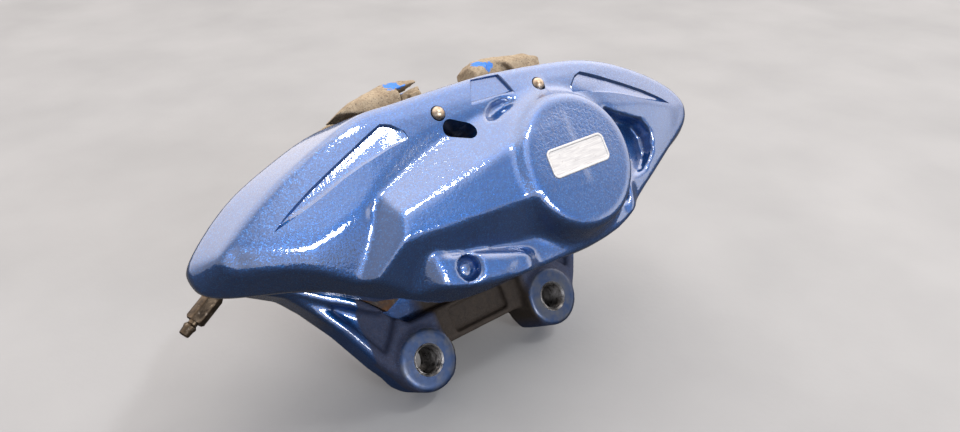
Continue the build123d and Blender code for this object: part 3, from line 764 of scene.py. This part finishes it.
def mark_sharp(mesh, kind):
    """Marks the edges whose two faces turn sharply, sooner at a machined hole or a panel."""
    loop_edge = read(mesh.loops, "edge_index", kind=np.int32)
    corners = read(mesh.polygons, "loop_total", kind=np.int32)
    face = np.repeat(np.arange(len(mesh.polygons)), corners)
    order = np.argsort(loop_edge, kind="stable")
    edge, face = loop_edge[order], face[order]
    pair = np.nonzero(edge[:-1] == edge[1:])[0]
    one, two = face[pair], face[pair + 1]
    normal = read(mesh.polygons, "normal", 3)
    cosine = (normal[one] * normal[two]).sum(1)
    crisp = np.isin(kind[one], (BARE, PANEL)) | np.isin(kind[two], (BARE, PANEL))
    limit = np.where(crisp, math.cos(math.radians(28)), math.cos(math.radians(62)))
    sharp = np.zeros(len(mesh.edges), bool)
    sharp[edge[pair[cosine < limit]]] = True
    mesh.shade_smooth()
    mark = mesh.attributes.get("sharp_edge") or mesh.attributes.new("sharp_edge", "BOOLEAN", "EDGE")
    mark.data.foreach_set("value", sharp)


def finish_housing(mesh):
    """Face materials, masks and sharp edges, and the move into the frame."""
    kind = face_kinds(mesh)
    mark_masks(mesh)
    mark_sharp(mesh, kind)
    mesh.transform(TO_ROW)
    mesh.update()


housing()


# ---- threads: separate liners in the ears and the hose port ----
def thread(name, centre, radius, pitch, start, stop):
    """The inside of a tapped hole along Y, with its helical ridge."""
    sides, per_turn, ridge = 96, 8, 0.72
    rows = int((stop - start) / pitch * per_turn)
    points = []
    for i in range(rows + 1):
        for k in range(sides):
            a = 2 * math.pi * k / sides
            along = start + (stop - start) * i / rows
            phase = (along / pitch - k / sides) % 1.0
            r = radius + ridge * (1 - abs(2 * phase - 1) * 1.15)
            r = min(max(r, radius), radius + 0.62)
            points.append((centre[0] + r * math.cos(a), along, centre[1] + r * math.sin(a)))
    return make_mesh(name, points, bands(rows + 1, sides), THREAD, "housing")


for tag, side in (("left", -1), ("right", 1)):
    crease(thread("ear_thread_" + tag, (side * EAR_X, EAR_Z), 6.27, 1.5, 18.9, 41.1), 50)
thread("hose_thread", (0, HOSE_Z), 4.35, 1.0, 67, 79)


# ---- CAD pieces that keep their shape ----
def dress(material, *names):
    for name in names:
        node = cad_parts[name]
        node.data.materials.clear()
        node.data.materials.append(material)
        node.data.shade_smooth()
        crease(node, 30)


PAIRS = [(a, b) for a in ("outer", "inner") for b in ("left", "right")]
dress(MACHINED, *[f"{a}_piston_{b}" for a, b in PAIRS])
dress(RUBBER, *[f"{a}_seal_{b}" for a, b in PAIRS])
dress(PLATE, "outer_backplate", "inner_backplate")
dress(LINING, "outer_lining", "inner_lining")
dress(SHIM, "outer_shim", "inner_shim")
dress(SPRING, "spring_plate")
dress(SLEEVE, "pin_sleeve_left", "pin_sleeve_right")


# ---- pins, rivets, dust boots, bleed screw, badge, weights ----
for tag, side in (("left", -1), ("right", 1)):
    tip = [(52 - 2.4 + a, r) for a, r in dome(3.0, 2.4, 9)]
    shank = [(-51.4, 0.05), (-51.6, 3.9), (-51.2, 4.5), (-49.4, 4.5), (-49.1, 4.2), (-49, 3.0),
             (-35, 3.0), (-20, 3.0), (0, 3.0), (20, 3.0), (40, 3.0)]
    points, faces = lathe(shank + tip, (side * PIN_X, 0, PIN_Z), (0, -1, 0), 48)
    pin = make_mesh("pin_" + tag, points, faces, PIN, "housing", ["pad_pin_" + tag])
    crease(pin, 40)

WEIGHTS = {"left": (-60.0, -16.5), "right": (10.5, 52.0)}
RIVETS = [x for span in WEIGHTS.values() for x in (span[0] + 6, span[1] - 6)]
for name, side in (("outer", -1), ("inner", 1)):
    points, faces = [], []
    for x in RIVETS:
        head = [(12.9, 0.05), (12.95, 1.6), (13.3, 3.0), (13.9, 3.55), (14.3, 3.6), (14.35, 2.2),
                (30.0, 2.2), (30.02, 3.6), (30.5, 3.5), (31.0, 2.7), (31.25, 1.3), (31.29, 0.05)]
        shape, walls = lathe(head, (x, 0, 45.4), (0, side, 0), 32)
        faces += [tuple(len(points) + i for i in f) for f in walls]
        points += shape
    rivets = make_mesh(name + "_rivets", points, faces, ZINC, name + "_pad",
                       [name + "_weight_rivets"])
    crease(rivets, 50)
    for tag, x in (("left", -BORE_X), ("right", BORE_X)):
        sides = 96
        folds = [(31.12, 19.4), (31.1, 20.2), (31.4, 20.9), (31.9, 21.2), (32.4, 20.8),
                 (32.8, 21.3), (33.3, 22.0), (34.0, 22.1), (34.1, 21.0), (34.05, 19.4)]
        points, faces = lathe(folds, (x, 0, 0), (0, side, 0), sides)
        # a ring has no ends: its last row of points joins the first
        last = (len(folds) - 1) * sides
        closing = [(last + k, last + (k + 1) % sides, (k + 1) % sides, k) for k in range(sides)]
        boot = make_mesh(f"{name}_boot_{tag}", points, faces[:-2] + closing, RUBBER, "housing",
                         [f"{name}_dust_boot_{tag}"])
        crease(boot, 60)


def bleed_screw():
    sides = 48
    start, direction = Vector(BLEED_SEAT), Vector(BLEED_AXIS).normalized()
    threads = [(-13.5, 3.0)]
    for k in range(13):
        threads += [(-13.2 + k, 3.95), (-12.7 + k, 3.35)]
    shape = threads + [(0.0, 3.9), (0.4, 3.9)]
    points, faces = lathe(shape, start, direction, sides)
    # hexagon with turned corners
    side = Vector((0, 1, 0))
    other = direction.cross(side)
    half_flats = 3.81
    rows = [(0.4, 4.05), (0.9, 4.4), (13.2, 4.4), (14.0, 3.75)]
    faces += closed_tube(len(rows), sides, len(points))
    for along, radius in rows:
        for k in range(sides):
            a = 2 * math.pi * k / sides
            flat = half_flats / math.cos((a + math.pi / 6) % (math.pi / 3) - math.pi / 6)
            spoke = (side * math.cos(a) + other * math.sin(a)) * min(radius, flat)
            points.append(start + direction * along + spoke)
    # ribbed nipple with an open end
    nipple = [(14.0, 2.1), (15.5, 2.1), (15.9, 2.4), (16.5, 2.85), (17.1, 2.85), (18.2, 2.5),
              (20.3, 2.35), (20.8, 2.2), (21.0, 1.9), (21.0, 1.25), (20.6, 1.1), (13.8, 1.08)]
    more, walls = lathe(nipple, start, direction, sides)
    faces += [tuple(len(points) + i for i in f) for f in walls]
    points += more
    screw = make_mesh("bleed_nipple", points, faces, WEATHERED, "bleed_screw_body",
                      ["bleed_screw"])
    crease(screw, 35)


bleed_screw()


def badge_plate():
    """Blank plate with rounded corners, a raised border and a softly rounded edge."""
    sides, half_length, half_height = 48, 17, 6.5
    # (how far in from the plate's outline, y)
    rows = [(0.0, -59.9), (0.0, -60.5), (0.12, -60.7), (0.35, -60.8), (0.9, -60.8), (1.1, -60.7),
            (1.25, -60.5), (1.6, -60.45), (2.6, -60.45)]
    points = []
    for inset, y in rows:
        corner = max(3 - inset, 0.4)
        for k in range(sides):
            a = 2 * math.pi * (k + 0.5) / sides
            cx = math.copysign(half_length - inset - corner, math.cos(a))
            cz = math.copysign(half_height - inset - corner, math.sin(a))
            points.append((25 + cx + corner * math.cos(a), y, 1.5 + cz + corner * math.sin(a)))
    plate = make_mesh("badge_plate", points, closed_tube(len(rows), sides), BADGE, "housing",
                      ["badge"])
    crease(plate, 40)


badge_plate()

# a weight's outlines: the block that hooks over the backplate, the shelf behind it, its key
BLOCKS = {
    "left": [(-59.6, 52.8), (-52, 56.8), (-45, 58.6), (-31, 62.1), (-22, 61.6), (-16.8, 59.8),
             (-17, 58.2), (-27.2, 57.0), (-29, 55.2), (-29, 42), (-45, 42), (-46.5, 49.8)],
    "right": [(10.6, 52), (12, 58.4), (18, 61.8), (26, 62.2), (46, 58.8), (51.6, 54.4), (50.5, 46),
              (44, 42), (36, 42), (34.8, 50), (30.5, 56.4), (22, 57.8), (19.4, 55.5), (18.8, 48),
              (12, 46)],
}
SHELVES = {
    "left": [(-31, 42), (-31, 56), (-27.4, 56), (-27.4, 55), (-17.2, 56.2), (-17.2, 42)],
    "right": [(13, 42), (19, 59), (34, 59), (48, 55), (48, 42)],
}
KEYS = {
    "left": [(-24, 45), (-24, 53.2), (-18, 54), (-18, 45)],
    "right": [(38, 45), (38, 54), (42, 54), (42, 45)],
}


def weight(name, tag, side):
    """Rough cast block hooked over the backplate: sloping top, roof arm, groove and undercut."""
    start, stop = WEIGHTS[tag]
    step = 0.6
    low = np.array([start - 3, 10.0, 39.0])
    x = (low[0] + step * np.arange(int((stop - start + 6) / step)))[:, None, None]
    y = (low[1] + step * np.arange(40))[None, :, None]
    z = (low[2] + step * np.arange(45))[None, None, :]
    xs, zs = x[:, 0], z[0] + 0 * x[:, 0]
    main, shelf, key = (outline_distance(np.array(outlines[tag]), xs, zs)[:, None, :]
                        for outlines in (BLOCKS, SHELVES, KEYS))
    main = both(main, np.abs(y - 22) - 7.8, 1.0)
    main = both(main, ((z - 61.9) + (y - 22.5) * 0.85) * 0.76, 1.2)
    shelf = both(shelf, np.abs(y - 20.6) - 6.4, 0.8)
    key = both(key, np.abs(y - 25) - 4.2, 0.8)
    body = np.minimum(np.minimum(main, shelf), key)
    if tag == "left":
        body = cut(body, np.maximum(np.abs(x + 28.1) - 0.8, np.maximum(23 - y, z - 57)), 0.4)
    body = cut(body, both(24.4 - y, z - 48.1, 0.6), 0.8)
    body = both(body, (z - 62.4) * 0.8 + (16.5 - y) * 0.6, 1.5)
    # uneven casting: waves of three lengths
    waves = (((0.37, 0.21, 0.29), 0.10), ((0.71, 0.53, 0.67), 0.09), ((1.3, 1.1, 1.2), 0.06))
    for k, ((u, v, w), depth) in enumerate(waves):
        wave = np.sin(x * u + k * 1.7 + side) * np.cos(z * w + k)
        wave = wave + np.sin(y * v * 1.9 + x * 0.31 + k * 2.1)
        body = body + wave * depth
    points, quads = surface_net(body.astype(np.float32), low, step)
    points = relax(points, quads, 2)
    points = np.clip(points, (start, 14.0, 42.0), (stop, 30.0, 62.5))
    if side < 0:
        points[:, 1] *= -1
        quads = quads[:, ::-1]
    make_mesh(f"{name}_{tag}_weight", points, quads, IRON, name + "_pad",
              [f"{name}_weight_{tag}"])


for name, side in (("outer", -1), ("inner", 1)):
    for tag in WEIGHTS:
        weight(name, tag, side)


# ---- floor, lights and camera ----
def ground(name, height, material):
    """A wide level square, which isn't part of the object."""
    mesh = bpy.data.meshes.new(name)
    corners = [(-3, -3, height), (3, -3, height), (3, 3, height), (-3, 3, height)]
    mesh.from_pydata(corners, [], [(0, 1, 2, 3)])
    mesh.materials.append(material)
    square = add_object(name, mesh)
    return square


ground("floor", 0, pale_floor())


def softbox(name, direction, width, height, power, colour):
    """Area light in that direction from the caliper, facing it."""
    distance = 3.0
    light = bpy.data.lights.new(name, "AREA")
    light.shape = "RECTANGLE"
    light.size, light.size_y = width, height
    light.energy = power
    light.color = colour
    lamp = add_object(name, light)
    lamp.location = Vector((0, 0, 0.09)) + Vector(direction).normalized() * distance
    lamp.rotation_euler = (-Vector(direction)).to_track_quat("-Z", "Y").to_euler()


softbox("strip", (0.27, -0.44, 0.86), 0.36, 0.22, 17, (1.0, 1.0, 1.0))
softbox("low_front", (0.14, -0.92, 0.36), 0.95, 0.26, 28, (0.95, 0.96, 1.0))

# sky: warm overhead, behind and at the right, cool and even in front with a dimmer band
world = bpy.data.worlds.new("studio")
bpy.context.scene.world = world
world.use_nodes = True
tree = world.node_tree
tree.nodes.remove(tree.nodes["Background"])


def wire(kind, settings=(), *values):
    """A node of the sky with its settings and its inputs' values: gives its outputs."""
    made = tree.nodes.new(kind)
    for key, value in dict(settings).items():
        setattr(made, key, value)
    for socket, value in zip(made.inputs, values):
        if isinstance(value, bpy.types.NodeSocket):
            tree.links.new(value, socket)
        elif value is not None:
            socket.default_value = value
    return made.outputs


towards = wire("ShaderNodeTexCoord")["Generated"]


def lobe(direction, width, strength):
    """A soft patch of sky: full strength at its middle, none at width degrees."""
    middle = Vector(direction).normalized()
    dot = wire("ShaderNodeVectorMath", {"operation": "DOT_PRODUCT"}, towards, middle)["Value"]
    edge = math.cos(math.radians(width))
    smooth = {"interpolation_type": "SMOOTHSTEP"}
    return wire("ShaderNodeMapRange", smooth, dot, edge, 1.0, 0.0, strength)["Result"]


def sky(colour, constant, *patches):
    """Background shader of one colour: an even level and soft patches on top."""
    level = constant
    for patch in patches:
        level = wire("ShaderNodeMath", {"operation": "ADD"}, level, lobe(*patch))[0]
    return wire("ShaderNodeBackground", {}, (*colour, 1), level)[0]


warm = sky((1.0, 0.87, 0.76), 0.0,
           ((0.1, 0.7, 0.7), 85, 1.5), ((0.5, 0.0, 0.9), 50, 0.8), ((1, -0.05, 0.42), 38, 1.3))
cool = sky((0.94, 0.94, 1.0), 0.68,
           ((0.76, -0.64, 0.1), 16, 1.1), ((0.45, -0.75, 0.48), 26, -0.2),
           ((-0.1, -0.95, 0.25), 30, 0.5), ((0.2, -0.65, 0.74), 18, 0.8))
whole = wire("ShaderNodeAddShader", {}, warm, cool)[0]
tree.links.new(whole, tree.nodes["World Output"].inputs["Surface"])

# a dark card just over the floor, seen only in reflections, so that low edges reflect a dark ground
dark = Nodes("dark_card", Roughness=0.9)
dark.feed(dark.shader.inputs["Base Color"], dark.ramp(dark.noise(30.0), (0.3, 0.02), (0.7, 0.05)))
card = ground("dark_card", 0.0003, dark.material)
for ray in ("camera", "diffuse", "transmission", "volume_scatter", "shadow"):
    setattr(card, "visible_" + ray, False)

camera_data = bpy.data.cameras.new("camera")
camera_data.lens = 27
camera_data.sensor_width = 36
camera = add_object("camera", camera_data)
camera.location = (-0.1847, -0.2446, 0.2593)
camera.rotation_euler = Vector((0.539, 0.674, -0.506)).to_track_quat("-Z", "Y").to_euler()
camera_data.clip_start = 0.01
bpy.context.scene.camera = camera
bpy.context.scene.view_settings.view_transform = "Standard"
